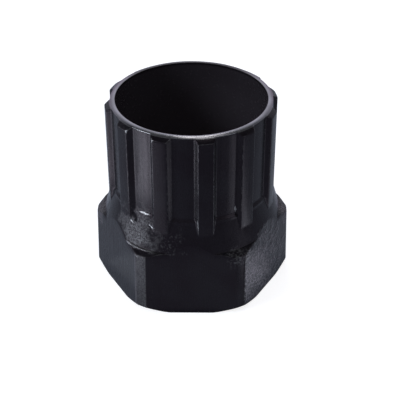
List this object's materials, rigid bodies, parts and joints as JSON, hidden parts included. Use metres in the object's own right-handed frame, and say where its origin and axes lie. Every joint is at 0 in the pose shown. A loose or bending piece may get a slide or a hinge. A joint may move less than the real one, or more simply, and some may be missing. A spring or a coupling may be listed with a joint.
{
  "type": "freewheel remover",
  "caption": "Hollow freewheel remover: straight external splines on a chamfered barrel, a conical flare and a wrench hexagon with turned corners.",
  "frame": {"origin": "centre of the flat foot at the wrench end, on the tool's axis", "axes": "+Z along the tool's axis towards the splined end, -Y towards the middle of one wrench flat"},
  "size_m": [0.027, 0.024, 0.0266],
  "materials": {
    "blackened_steel": "black oxide, satin, with bare bright rubs on the rim and the edges"
  },
  "bodies": {
    "root": {"remover_body": "blackened_steel"}
  },
  "joints": []
}
